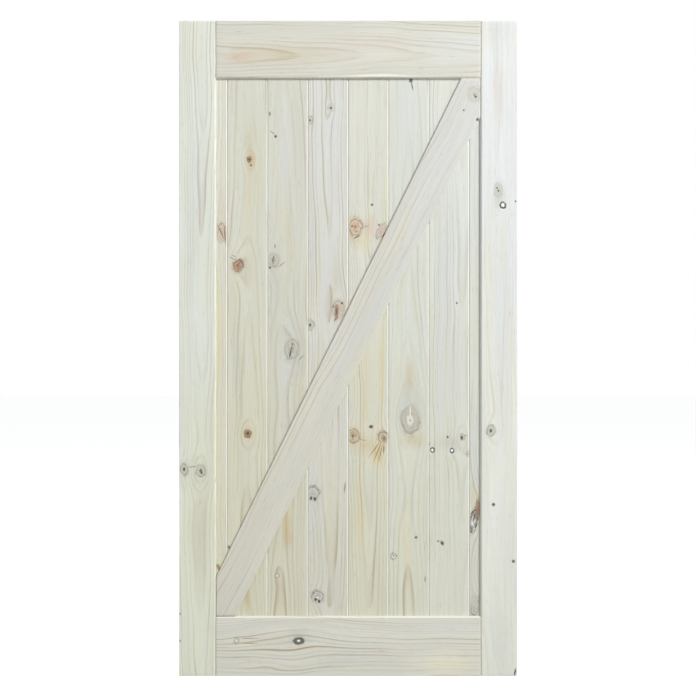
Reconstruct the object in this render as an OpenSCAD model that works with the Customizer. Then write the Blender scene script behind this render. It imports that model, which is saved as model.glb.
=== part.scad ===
// Sliding barn door slab: a stile-and-rail frame in solid pine that holds a field of
// tongued-and-grooved planks, with one diagonal brace planted on the front of the planks.
// Millimetres. X runs across the door, Z runs up, and the front faces -Y.
// The origin is the middle of the bottom edge, halfway through the thickness.

/* [Door] */
// Overall width, over both stiles
door_w = 1067; // [820:1:1300]
// Overall height, over both rails
door_h = 2068; // [1700:1:2500]
// Thickness of the stiles and rails
door_t = 35; // [30:1:45]

/* [Frame] */
// Width of each stile
stile_w = 116; // [90:1:150]
// Width of the top rail
rail_top_w = 181; // [120:1:230]
// Width of the bottom rail
rail_bottom_w = 188; // [120:1:240]
// Bevel along the frame's edges that face the planks
inner_ease = 4.5; // [1.5:0.5:6]
// Bevel that eases the other edges of the frame's faces
frame_ease = 1.5; // [0.5:0.1:2.5]
// Depth of the groove along the inner edges of the frame
groove_depth = 12; // [8:0.5:16]
// Gap between the end of a rail's stub tenon and the bottom of the stile's groove
tenon_end_gap = 0.5; // [0.2:0.1:2]

/* [Planks] */
// Width of face that one full plank covers
plank_cover = 127.5; // [80:0.5:160]
// Thickness of the planks
plank_t = 13; // [11:0.5:16]
// Bevel along both faces of each plank edge; two of them make a vee
vee_bevel = 2.6; // [1:0.1:3]
// Open line between neighbouring planks at the bottom of the vee
plank_gap = 0.3; // [0.1:0.1:1]
// Length of the tongue
tongue_l = 6; // [4:0.5:8]
// Thickness of the tongue
tongue_t = 4.4; // [3:0.1:5]
// Room between the end of a tongue and the bottom of its slot
tongue_end_gap = 0.6; // [0.3:0.1:1.5]
// Narrowest face that an edge plank may show beside a stile
edge_plank_min = 20; // [18:1:34]
// Room left for the planks to swell, at the sides and top of the frame's groove
swell_gap = 3; // [1:0.5:4]

/* [Brace] */
// Width of the diagonal brace
brace_w = 108; // [80:1:140]
// How far the brace's face lies behind the face of the frame
brace_set_back = 0; // [0:0.5:3]
// Bevel that eases the edges of the brace's face
brace_ease = 1.2; // [0.5:0.1:2.5]
// Seam between the cut ends of the brace and the frame
brace_end_gap = 0.4; // [0.1:0.1:1]

/* [Dowels] */
// Dowels in each corner joint
dowel_count = 3; // [2:1:4]
// Diameter of a dowel
dowel_d = 10; // [6:0.5:12]
// Length of a dowel, half in the stile and half in the rail
dowel_l = 100; // [60:2:140]
// Distance from the outer edge, or from the groove, to the nearest dowel's axis
dowel_edge = 26; // [16:1:40]
// Number of glue flutes round a dowel
dowel_flutes = 12; // [6:1:16]
// Radius of a glue flute
flute_r = 0.5; // [0.3:0.1:0.8]
// Bevel on the ends of a dowel
dowel_bevel = 1; // [0.5:0.1:2]
// Glue space beyond each end of a dowel
dowel_end_gap = 1.5; // [0.5:0.5:3]

/* [Screws] */
// Length of a screw that holds the brace, driven through the planks from behind
screw_l = 20; // [16:1:22]
// Diameter of the screw's shank
screw_d = 3.5; // [3:0.1:4]
// Diameter of the countersunk head
screw_head_d = 7; // [5.5:0.1:8]
// Length of the screw's point
screw_point_l = 4; // [2:0.5:5]
// Depth of the cross recess in the head
recess_depth = 1.6; // [1:0.1:2]
// Width of the cross recess's wings
recess_w = 0.9; // [0.6:0.1:1.2]
// Length of the cross recess, tip to tip
recess_l = 4; // [3:0.1:4.5]

/* [Fit] */
// Clearance on each side of a tongue, tenon or plank in its groove
slip_fit = 0.1; // [0.05:0.05:0.3]
// Radial clearance round a dowel or a screw in its hole
hole_fit = 0.05; // [0.02:0.01:0.1]

/* [Hidden] */
round_fn = 48;
flute_fn = 24;
screw_edge_t = 0.3;   // straight rim round the screw's head
screw_tip_r = 0.1;
recess_turn = 45;     // the cross recess stands at this angle to the boards
over = 1;             // how far a cutter runs past the face that it leaves

pine_frame = [0.87, 0.87, 0.82];
pine_plank = [0.86, 0.85, 0.78];
pine_brace = [0.88, 0.88, 0.84];
beech = [0.80, 0.66, 0.48];
zinc = [0.72, 0.70, 0.62];

// The opening that the frame leaves, and the joint planes between rails and stiles
open_w = door_w - 2 * stile_w;
open_h = door_h - rail_top_w - rail_bottom_w;
joint_x = open_w / 2;
open_z0 = rail_bottom_w;
open_z1 = door_h - rail_top_w;

// The groove in the frame takes the planks and the rails' stub tenons
groove_w = plank_t + 2 * slip_fit;
tenon_l = groove_depth - tenon_end_gap;
tenon_t = groove_w - 2 * slip_fit;
panel_in = groove_depth - swell_gap;

// Full planks are centred in the opening, and one ripped plank fills each side
full_planks = floor((open_w - 2 * edge_plank_min) / plank_cover);
plank_count = full_planks + 2;
field_w = full_planks * plank_cover;
edge_face_w = (open_w - field_w) / 2;
plank_z0 = open_z0 - groove_depth;
plank_h = open_z1 + panel_in - plank_z0;
slot_w = tongue_t + 2 * slip_fit;
slot_depth = tongue_l - plank_gap + tongue_end_gap;

// The brace fills the recess between the planks and the face of the frame
plank_front_y = -plank_t / 2;
plank_back_y = plank_t / 2;
brace_front_y = -door_t / 2 + brace_set_back;
brace_t = plank_front_y - brace_front_y;
brace_angle = atan(open_w / open_h);
open_mid_z = (open_z0 + open_z1) / 2;

// The countersunk head's cone reaches this deep into the back of a plank
screw_head_h = screw_edge_t + (screw_head_d - screw_d) / 2;

JOINTS = ["top_left", "top_right", "bottom_left", "bottom_right"];

// A rectangle with bevelled corners. The bevels go round from the low corner at the front
// (-y): front low, front high, back high, back low.
function eased_section(w, t, bevels) = [
    [-w / 2, -t / 2 + bevels[0]], [-w / 2 + bevels[0], -t / 2],
    [w / 2 - bevels[1], -t / 2], [w / 2, -t / 2 + bevels[1]],
    [w / 2, t / 2 - bevels[2]], [w / 2 - bevels[2], t / 2],
    [-w / 2 + bevels[3], t / 2], [-w / 2, t / 2 - bevels[3]]
];

// The bevels of a stile or rail, whose inner edge is its low or its high one, and of its ends
function frame_bevels(inner_high) = inner_high
    ? [frame_ease, inner_ease, inner_ease, frame_ease]
    : [inner_ease, frame_ease, frame_ease, inner_ease];
end_bevels = [frame_ease, frame_ease, frame_ease, frame_ease];
brace_bevels = [brace_ease, brace_ease, 0, 0];

// A flat board standing on z = 0, with bevels round its width and round its height
module eased_board(w, h, t, across, upwards) {
    intersection() {
        linear_extrude(h) polygon(eased_section(w, t, across));
        translate([-w / 2, 0, h / 2]) rotate([90, 0, 90])
            linear_extrude(w) polygon([for (p = eased_section(h, t, upwards)) [p[1], p[0]]]);
    }
}

// Axis heights of the dowels in a rail whose solid part runs from z0 to z1
function dowel_heights(z0, z1) = [
    for (i = [0 : dowel_count - 1])
        z0 + dowel_edge + i * (z1 - z0 - 2 * dowel_edge) / (dowel_count - 1)
];
bottom_dowel_z = dowel_heights(0, rail_bottom_w - groove_depth);
top_dowel_z = dowel_heights(open_z1 + groove_depth, door_h);

// side is -1 at the left joint and 1 at the right one
module dowel_holes(side, heights) {
    hole_l = dowel_l + 2 * dowel_end_gap;
    for (z = heights)
        translate([side * joint_x, 0, z]) rotate([0, 90, 0])
            cylinder(h = hole_l, d = dowel_d + 2 * hole_fit, center = true, $fn = round_fn);
}

module stile(side) {
    color(pine_frame)
    difference() {
        translate([side * (door_w - stile_w) / 2, 0, 0])
            eased_board(stile_w, door_h, door_t, frame_bevels(side < 0), end_bevels);
        translate([side * (joint_x + (groove_depth - over) / 2), 0, door_h / 2])
            cube([groove_depth + over, groove_w, door_h + 2 * over], center = true);
        dowel_holes(side, concat(bottom_dowel_z, top_dowel_z));
    }
}

// A rail from z0 to z1. Its groove opens at the edge groove_z, towards the planks.
module rail(z0, z1, groove_z, heights) {
    tenon_z0 = groove_z == z0 ? z0 + groove_depth : z0;
    tenon_z1 = groove_z == z1 ? z1 - groove_depth : z1;
    color(pine_frame)
    difference() {
        union() {
            translate([0, 0, z0])
                eased_board(open_w, z1 - z0, door_t, end_bevels, frame_bevels(groove_z == z1));
            translate([-joint_x - tenon_l, -tenon_t / 2, tenon_z0])
                cube([open_w + 2 * tenon_l, tenon_t, tenon_z1 - tenon_z0]);
        }
        translate([0, 0, groove_z])
            cube([open_w + 2 * over, groove_w, 2 * groove_depth], center = true);
        for (side = [-1, 1]) dowel_holes(side, heights);
    }
}

// Left face edge of plank i, counted from 1, and its right one
function plank_x0(i) = i == 1 ? -joint_x : -field_w / 2 + (i - 2) * plank_cover;
function plank_x1(i) = i == plank_count ? joint_x : -field_w / 2 + (i - 1) * plank_cover;

// Outline of the left and right edges of a plank, each from the front face to the back
function plain_edge(x, side) = [[x, -side * plank_t / 2], [x, side * plank_t / 2]];
function slotted_edge(x) = [
    [x + vee_bevel, plank_t / 2], [x, plank_t / 2 - vee_bevel],
    [x, slot_w / 2], [x + slot_depth, slot_w / 2],
    [x + slot_depth, -slot_w / 2], [x, -slot_w / 2],
    [x, -plank_t / 2 + vee_bevel], [x + vee_bevel, -plank_t / 2]
];
function tongued_edge(x) = [
    [x - vee_bevel, -plank_t / 2], [x, -plank_t / 2 + vee_bevel],
    [x, -tongue_t / 2], [x + tongue_l, -tongue_t / 2],
    [x + tongue_l, tongue_t / 2], [x, tongue_t / 2],
    [x, plank_t / 2 - vee_bevel], [x - vee_bevel, plank_t / 2]
];

module plank(i) {
    left = i == 1
        ? plain_edge(-joint_x - panel_in, -1)
        : slotted_edge(plank_x0(i) + plank_gap / 2);
    right = i == plank_count
        ? plain_edge(joint_x + panel_in, 1)
        : tongued_edge(plank_x1(i) - plank_gap / 2);
    color(pine_plank)
    difference() {
        translate([0, 0, plank_z0]) linear_extrude(plank_h) polygon(concat(left, right));
        for (x = screw_xs(i)) at_screw(x) screw_hole();
    }
}

// A full plank takes two screws at its quarter points. An edge plank takes one, in the
// middle of the face that is left beside the tongue.
edge_screw_x = (field_w / 2 + slot_depth + joint_x) / 2;
function screw_xs(i) =
    i == 1 ? [-edge_screw_x]
    : i == plank_count ? [edge_screw_x]
    : [plank_x0(i) + plank_cover / 4, plank_x1(i) - plank_cover / 4];

// On the brace's centre line at x, with z = 0 at the back of the planks and +z to the front
module at_screw(x) {
    translate([x, plank_back_y, open_mid_z + x / tan(brace_angle)]) rotate([90, 0, 0]) children();
}

// Half outline of a countersunk screw, grown by a clearance and lengthened at the head
function screw_outline(fit, head_over) = [
    [0, -head_over], [screw_head_d / 2 + fit, -head_over],
    [screw_head_d / 2 + fit, screw_edge_t],
    [screw_d / 2 + fit, screw_head_h],
    [screw_d / 2 + fit, screw_l - screw_point_l],
    [screw_tip_r + fit, screw_l + fit], [0, screw_l + fit]
];

module screw_hole() {
    rotate_extrude($fn = round_fn) polygon(screw_outline(hole_fit, over));
}

module screw() {
    difference() {
        rotate_extrude($fn = round_fn) polygon(screw_outline(0, 0));
        for (turn = [recess_turn, recess_turn + 90])
            translate([0, 0, (recess_depth - over) / 2]) rotate([0, 0, turn])
                cube([recess_l, recess_w, recess_depth + over], center = true);
    }
}

module brace_screws() {
    color(zinc)
    for (i = [1 : plank_count]) for (x = screw_xs(i)) at_screw(x) screw();
}

// The brace is a bar on the diagonal, trimmed to the opening at both ends
module brace() {
    window_w = open_w - 2 * brace_end_gap;
    window_h = open_h - 2 * brace_end_gap;
    bar_l = open_w + open_h;
    mid_y = (plank_front_y + brace_front_y) / 2;
    color(pine_brace)
    difference() {
        intersection() {
            translate([0, mid_y, open_z0 + brace_end_gap])
                eased_board(window_w, window_h, brace_t, brace_bevels, brace_bevels);
            translate([0, mid_y, open_mid_z]) rotate([0, brace_angle, 0])
                translate([0, 0, -bar_l / 2]) linear_extrude(bar_l)
                    polygon(eased_section(brace_w, brace_t, brace_bevels));
        }
        for (i = [1 : plank_count]) for (x = screw_xs(i)) at_screw(x) screw_hole();
    }
}

module dowel(side, z) {
    color(beech)
    translate([side * joint_x, 0, z]) rotate([0, 90, 0])
    difference() {
        rotate_extrude($fn = round_fn) polygon([
            [0, -dowel_l / 2], [dowel_d / 2 - dowel_bevel, -dowel_l / 2],
            [dowel_d / 2, -dowel_l / 2 + dowel_bevel], [dowel_d / 2, dowel_l / 2 - dowel_bevel],
            [dowel_d / 2 - dowel_bevel, dowel_l / 2], [0, dowel_l / 2]
        ]);
        for (i = [0 : dowel_flutes - 1])
            rotate([0, 0, i * 360 / dowel_flutes]) translate([dowel_d / 2, 0, 0])
                cylinder(h = dowel_l + 2 * over, r = flute_r, center = true, $fn = flute_fn);
    }
}

stile(-1);  // stile_left
stile(1);  // stile_right
rail(open_z1, door_h, open_z1, top_dowel_z);  // rail_top
rail(0, open_z0, open_z0, bottom_dowel_z);  // rail_bottom
for (i = [1 : plank_count])
    plank(i);
brace();
brace_screws();
for (j = [0 : 3], i = [0 : dowel_count - 1])
    dowel(j % 2 == 0 ? -1 : 1, (j < 2 ? top_dowel_z : bottom_dowel_z)[i]);
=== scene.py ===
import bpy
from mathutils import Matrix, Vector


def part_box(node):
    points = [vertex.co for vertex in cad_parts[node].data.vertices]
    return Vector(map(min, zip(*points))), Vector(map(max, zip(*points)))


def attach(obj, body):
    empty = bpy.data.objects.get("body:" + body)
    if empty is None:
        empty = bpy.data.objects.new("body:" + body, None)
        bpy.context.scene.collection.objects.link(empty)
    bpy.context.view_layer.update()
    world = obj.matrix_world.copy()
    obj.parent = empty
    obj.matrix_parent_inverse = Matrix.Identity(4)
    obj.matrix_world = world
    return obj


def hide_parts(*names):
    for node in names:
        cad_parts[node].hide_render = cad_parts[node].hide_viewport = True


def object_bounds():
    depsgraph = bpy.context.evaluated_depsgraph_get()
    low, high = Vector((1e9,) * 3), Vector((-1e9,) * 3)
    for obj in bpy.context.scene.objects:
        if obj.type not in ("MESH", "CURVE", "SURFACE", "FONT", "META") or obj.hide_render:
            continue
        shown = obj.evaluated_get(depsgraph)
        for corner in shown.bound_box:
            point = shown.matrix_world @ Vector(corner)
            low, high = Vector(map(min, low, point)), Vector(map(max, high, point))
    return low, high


bl_info = {
    "name": "Pine Barn Door",
    "version": (1, 0, 0),
    "blender": (4, 5, 0),
    "location": "View3D > Sidebar > Barn Door",
    "description": "Builds the boards, knots and bare-wood finish of a knotty pine barn door",
    "category": "Add Mesh",
}

import math
from collections import namedtuple

import bmesh
import bpy
import numpy as np
from bpy.props import FloatProperty, FloatVectorProperty, IntProperty, PointerProperty
from mathutils import Matrix, Vector

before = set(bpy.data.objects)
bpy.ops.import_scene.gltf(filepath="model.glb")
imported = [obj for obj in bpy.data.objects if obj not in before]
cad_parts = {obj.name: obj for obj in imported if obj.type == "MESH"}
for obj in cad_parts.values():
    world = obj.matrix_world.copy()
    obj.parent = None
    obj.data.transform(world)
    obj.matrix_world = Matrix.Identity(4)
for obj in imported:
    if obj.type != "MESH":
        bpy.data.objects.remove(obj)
CAD_LOW, CAD_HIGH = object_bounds()

MM = 0.001

# Places and sizes that the frame gives, in metres. X runs across the door, Z runs up it,
# and the front looks towards -Y.
FRAME_T = CAD_HIGH.y - CAD_LOW.y
JOINT_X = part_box("stile_right")[0].x
OPEN_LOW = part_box("rail_bottom")[1].z
OPEN_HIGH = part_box("rail_top")[0].z
OPEN_W = 2 * JOINT_X
OPEN_H = OPEN_HIGH - OPEN_LOW
OPEN_MID = (OPEN_LOW + OPEN_HIGH) / 2
PLANK_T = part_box("plank_2")[1].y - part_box("plank_2")[0].y
GROOVE_DEPTH = OPEN_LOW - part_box("plank_2")[0].z
TENON_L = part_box("rail_top")[1].x - JOINT_X
INNER_EASE = min(v.co.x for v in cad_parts["stile_right"].data.vertices
                 if v.co.y < CAD_LOW.y + 0.001 * MM) - JOINT_X
PLANK_NODES = sorted(
    (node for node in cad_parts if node.startswith("plank_")), key=lambda node: int(node[6:]))

# Joinery that the frame's boxes don't give
SLIP = 0.1 * MM           # clearance on each side of a tongue, tenon or plank in its groove
PLANK_GAP = 0.3 * MM      # open line at the bottom of a vee
TONGUE_T = 4.4 * MM
SLOT_END = 0.6 * MM       # room past the end of a tongue
SCREW_R = 1.8 * MM        # bore for a screw's shank
SINK_R = 3.55 * MM        # mouth of its countersink
SINK_RIM = 0.3 * MM       # straight part of the countersink
BRACE_BORE = 7.2 * MM     # depth of a screw's bore in the brace
BRACE_SHRINK = 0.7 * MM   # how far the brace's ends have drawn back from the frame
BEVEL_SHARE = 0.3         # radius beside the frame's inner bevels, as a share of its arrises'

# Limits for the mesh
FLUSH = 0.01 * MM         # points this close to a face lie in it
SAME_SIDE = 0.5 * MM      # faces this close to a board's front or back belong to it
FACING = 0.9              # least part of a face's normal that points the way it faces
HOLE_SIDES = 24
HOLE_ROOM = 0.6 * MM      # room round a hole in which the faces are built anew
EASE_SEGMENTS = 4         # strips in a rounded arris
STRIP_INSET = 1.15        # where the first strip begins, in arris radii from the edge
KNOT_REACH = (1.35, 4 * MM, 1.3, 6 * MM)   # finer mesh: share of a knot's size and room round it
SHARP_ANGLE = math.radians(32)

# How the grain drifts along a board, and parts round a knot
DRIFT_ACROSS = 3.2 * MM
DRIFT_DEEP = 1.1 * MM
DRIFT_WAVES = ((0.83, 1, 1), (0.37, 0.5, 2.3), (0.19, 0.25, 3.1))   # length in m, share, turn
PART_REACH = (1.9, 3 * MM, 2.6, 6 * MM)    # share of a knot's size and room round it
PART_ACROSS = 0.62
PLANK_WEAR = 0.3          # a plank's vees are worn less than the frame's arrises

# Where the camera stands, from the middle of the door's face, and how far it sees, in metres
CAMERA_X = -0.85 * MM
CAMERA_RISE = 1 * MM
CAMERA_RANGE = 60
FLOOR_HALF = 30


def linear(red, green, blue):
    """A colour given as 0-255 display values, as the linear RGBA that shaders take."""
    def channel(value):
        value /= 255
        return value / 12.92 if value <= 0.04045 else ((value + 0.055) / 1.055) ** 2.4
    return (channel(red), channel(green), channel(blue), 1.0)


# ---------------------------------------------------------------- sizes and colours

def length(name, description, default, low, high):
    """A setting given in millimetres and kept in metres."""
    return FloatProperty(
        name=name, description=description, default=default * MM, min=low * MM, max=high * MM,
        precision=4, unit="LENGTH")


def share(name, description, default):
    return FloatProperty(
        name=name, description=description, default=default, min=0, max=1, subtype="FACTOR")


def paint(name, description, default):
    return FloatVectorProperty(
        name=name, description=description, default=default, size=4, min=0, max=1, subtype="COLOR")


def number(name, description, default, low, high, unit="NONE"):
    return FloatProperty(
        name=name, description=description, default=default, min=low, max=high, unit=unit)


class BARNDOOR_PG_boards(bpy.types.PropertyGroup):
    frame_arris: length(
        "Frame arris", "Radius that softens the edges of the frame's faces", 1.8, 0.5, 5)
    brace_arris: length(
        "Brace arris", "Radius that eases the edges of the brace's face", 2.0, 0.5, 4)
    plank_arris: length("Plank arris", "Radius between a plank's face and its vee", 0.7, 0.2, 2)
    vee: length("Vee", "Bevel along each face edge of a plank", 2.6, 1, 3)
    vee_gap: length(
        "Vee gap", "How far each plank has shrunk back at the foot of a vee", 0.45, 0, 0.9)
    column: length("Column", "Mesh spacing across a board", 5, 2, 20)
    slice: length("Slice", "Mesh spacing along a board", 8, 4, 40)
    knot_cuts: IntProperty(
        name="Knot cuts", description="Extra cuts in each mesh edge round a knot",
        default=2, min=0, max=4)
    dings: length("Dings", "How far handling has worn the arrises in, at most", 0.35, 0, 2)


class BARNDOOR_PG_finish(bpy.types.PropertyGroup):
    ring_contrast: share(
        "Ring contrast", "How much of the latewood colour the growth rings show", 1.0)
    streaks: share("Fibre streaks", "Strength of the fine streaks along the grain", 0.35)
    grain_relief: length("Grain relief", "Height of the grain left by the plane", 0.12, 0, 1)
    # The pale arrises and vees are partly the paler wood of the worked edges and partly painted
    # highlight along them.
    arris_pale_and_highlight: share(
        "Pale arrises", "How much paler the frame's planed edges are than its faces", 0.2)
    vee_pale_and_highlight: share("Pale vees", "How much paler the planks' vees are than their faces", 0.6)
    roughness: share("Roughness", "Roughness of bare, sanded pine", 0.62)
    latewood: paint("Latewood", "Colour of the dark part of a growth ring", linear(168, 166, 140))
    heartwood: paint(
        "Heartwood", "Warmer colour that some of the rings take", linear(184, 168, 138))
    end_grain: paint("End grain", "Colour of the sawn ends", linear(212, 198, 170))
    beech: paint("Beech", "Colour of the dowels", linear(214, 184, 146))
    zinc: paint("Zinc", "Colour of the screws' plating", linear(214, 208, 190))


class BARNDOOR_PG_studio(bpy.types.PropertyGroup):
    floor: paint("Floor", "Colour of the floor", (0.4, 0.4, 0.4, 1))
    floor_glow: number(
        "Floor glow", "How much paler the floor looks than the light on it", 0.81, 0, 2)
    key: number("Key", "Power of the large lamp at the upper right", 630, 0, 2000, "POWER")
    fill: number("Fill", "Power of the large lamp at the left", 50, 0, 2000, "POWER")
    back: number("Back", "Power of the large lamp behind the door", 260, 0, 2000, "POWER")
    sky: number("Sky", "Strength of the light from all round", 0.375, 0, 2)
    lens: number("Lens", "Focal length of the camera in millimetres", 85, 35, 200)
    field: number(
        "Field", "Width of what the camera takes in, at the door's face", 2.1962, 1, 6, "LENGTH")


# ---------------------------------------------------------------- boards

# across, deep: where the tree's pith passes, in mm from the board's middle, at its lower end.
# lean: how far the pith drifts across and towards the front, in mm for each metre of board.
# ring: width of a growth ring in mm. figure: how strongly the rings show.
Growth = namedtuple("Growth", "across deep lean_across lean_deep ring figure")

# A knot's place is (x, z) on the door, in mm from its bottom middle. across and along are its
# full size over and along the grain, and turn its slant in degrees. heavy says at which end
# its rings show most: +1 at the upper, -1 at the lower, 0 all round.
Knot = namedtuple("Knot", "kind x z across along turn heavy", defaults=(0, 0))

# A tinted patch of sapwood or resin, placed and sized as a knot is
Stain = namedtuple("Stain", "tint x z across along strength", defaults=(0.5,))

# A kind of knot. Its layers, from the halo inwards, each give a colour in display values and how
# strongly it shows, then the halo's reach, the rim's width or the heart's size in knot radii.
# check is how open its crack is, rim_sink and pit are depths in mm, and swell says how far the
# grain parts round it. A buried knot has no layers: it only turns the grain.
Kind = namedtuple("Kind", "halo body lines rim heart check rim_sink pit swell", defaults=(1,))
LAYERS = (("Halo", "Reach"), ("Body", ""), ("Lines", ""), ("Rim", "Width"), ("Heart", "Size"))
KINDS = {
    "grey": Kind(
        (206, 204, 188, 0.4, 2.0), (196, 194, 178, 0.65), (150, 147, 132, 0.5),
        (128, 124, 110, 0.7, 0.12), (84, 80, 70, 0.9, 0.34), 0.2, 0.35, 0.15),
    "dim": Kind(
        (204, 203, 193, 0.5, 1.5), (198, 197, 186, 0.55), (164, 162, 148, 0.35),
        (156, 154, 140, 0.25, 0.1), (112, 108, 98, 0.7, 0.16), 0.0, 0.2, 0.1, 0.3),
    "pin": Kind(
        (188, 185, 170, 0.5, 2.2), (118, 108, 92, 0.85), (80, 70, 58, 0.2), (96, 86, 72, 0.3, 0.2),
        (70, 62, 52, 0.9, 0.7), 0.0, 0.2, 0.5, 0.5),
    "tick": Kind(
        (196, 194, 182, 0.4, 2.0), (116, 108, 94, 0.8), (90, 82, 70, 0.2),
        (110, 104, 90, 0.2, 0.2), (80, 72, 62, 0.8, 0.7), 0.0, 0.1, 0.6, 0.4),
    "hair": Kind(
        (200, 198, 186, 0.2, 2.4), (150, 143, 124, 0.5), (130, 124, 108, 0.1),
        (150, 144, 128, 0.1, 0.2), (120, 112, 96, 0.4, 0.7), 0.0, 0.0, 0.2, 0),
    "dark": Kind(
        (214, 196, 154, 0.55, 2.5), (150, 122, 90, 0.8), (98, 76, 54, 0.6),
        (108, 88, 66, 0.6, 0.2), (78, 60, 44, 0.85, 0.42), 0.0, 0.35, 0.3),
    "red": Kind(
        (206, 190, 160, 0.65, 1.9), (170, 138, 112, 0.68), (96, 72, 54, 0.8),
        (104, 80, 60, 0.75, 0.12), (188, 138, 110, 0.7, 0.5), 0.7, 0.4, 0.15),
    "salmon": Kind(
        (222, 207, 188, 0.55, 1.7), (212, 187, 162, 0.62), (138, 104, 78, 0.85),
        (120, 94, 72, 0.65, 0.08), (164, 122, 96, 0.6, 0.3), 0.2, 0.3, 0.0),
    "ochre": Kind(
        (218, 204, 172, 0.6, 2.0), (202, 184, 156, 0.7), (130, 104, 78, 0.8),
        (118, 94, 72, 0.7, 0.1), (124, 98, 74, 0.7, 0.28), 0.3, 0.3, 0.0),
    "brown": Kind(
        (210, 198, 188, 0.6, 2.0), (156, 132, 108, 0.8), (104, 80, 62, 0.5),
        (134, 106, 88, 0.3, 0.15), (112, 90, 68, 0.8, 0.5), 0.0, 0.2, 0.2),
    "cracked": Kind(
        (204, 202, 186, 0.5, 1.7), (192, 190, 174, 0.6), (150, 146, 130, 0.5),
        (140, 136, 120, 0.5, 0.08), (150, 138, 120, 0.5, 0.35), 0.9, 0.35, 0.1),
    "eye": Kind(
        (204, 199, 184, 0.45, 1.35), (190, 185, 170, 0.65), (150, 142, 126, 0.45),
        (146, 132, 112, 0.55, 0.07), (226, 224, 216, 0.85, 0.42), 0.0, 0.4, 0.0),
    "hole": Kind(
        (230, 231, 222, 0.5, 1.7), (84, 80, 70, 0.92), (60, 58, 50, 0.2), (62, 60, 52, 0.9, 0.3),
        (246, 246, 240, 1.0, 0.58), 0.0, 1.2, 0.3),
    "outline": Kind(
        (206, 202, 186, 0.4, 1.8), (196, 192, 176, 0.4), (170, 166, 150, 0.2),
        (130, 124, 108, 0.8, 0.2), (232, 230, 220, 0.7, 0.5), 0.0, 0.3, 0.0, 0.3),
    "socket": Kind(
        (192, 190, 174, 0.35, 1.9), (104, 102, 90, 0.92), (72, 70, 60, 0.7),
        (74, 72, 62, 0.8, 0.2), (238, 236, 226, 1.0, 0.34), 0.0, 1.0, 1.0, 0.3),
    "blush": Kind(
        (214, 206, 194, 0.5, 1.6), (200, 186, 168, 0.65), (150, 126, 106, 0.6),
        (140, 118, 100, 0.5, 0.08), (180, 160, 144, 0.3, 0.4), 0.0, 0.25, 0.0),
    "resin": Kind(
        (216, 202, 168, 0.4, 2.4), (150, 128, 96, 0.75), (120, 98, 72, 0.3),
        (140, 118, 88, 0.2, 0.2), (114, 92, 66, 0.7, 0.6), 0.0, 0.0, 0.25, 0),
    "bark": Kind(
        (196, 184, 164, 0.5, 1.5), (150, 146, 136, 0.85), (58, 54, 48, 1.0),
        (66, 60, 52, 0.95, 0.12), (214, 212, 206, 0.75, 0.5), 0.8, 0.6, 1.2),
    "lidded": Kind(
        (202, 201, 190, 0.5, 1.9), (196, 195, 186, 0.45), (112, 108, 96, 0.65),
        (92, 88, 78, 0.55, 0.08), (180, 178, 168, 0.4, 0.4), 0.0, 0.4, 0.1),
    "chip": Kind(
        (222, 221, 212, 0.3, 1.8), (236, 235, 228, 0.75), (220, 218, 210, 0.2),
        (200, 198, 188, 0.2, 0.2), (242, 241, 236, 0.7, 0.6), 0.0, 0.0, 0.3, 0),
    "buried": Kind(None, None, None, None, None, 0, 0, 0),
    "rust": Kind(
        (204, 186, 164, 0.4, 1.5), (168, 130, 98, 0.7), (110, 82, 58, 0.5),
        (100, 76, 56, 0.6, 0.15), (176, 128, 92, 0.6, 0.6), 0.3, 0.4, 0.8),
}

TINTS = {
    "tan": (208, 194, 160), "gold": (220, 210, 168), "ochre": (222, 200, 150),
    "rust": (200, 160, 104), "salmon": (216, 190, 168), "rose": (218, 206, 196),
    "grey": (196, 198, 190), "cool": (218, 221, 219), "dusk": (196, 186, 172),
    # The last tint is a painted highlight, pale enough to light up a bevel that faces down, away
    # from the lamps.
    "cream": (234, 232, 216), "highlit": (252, 250, 238),
}

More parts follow.
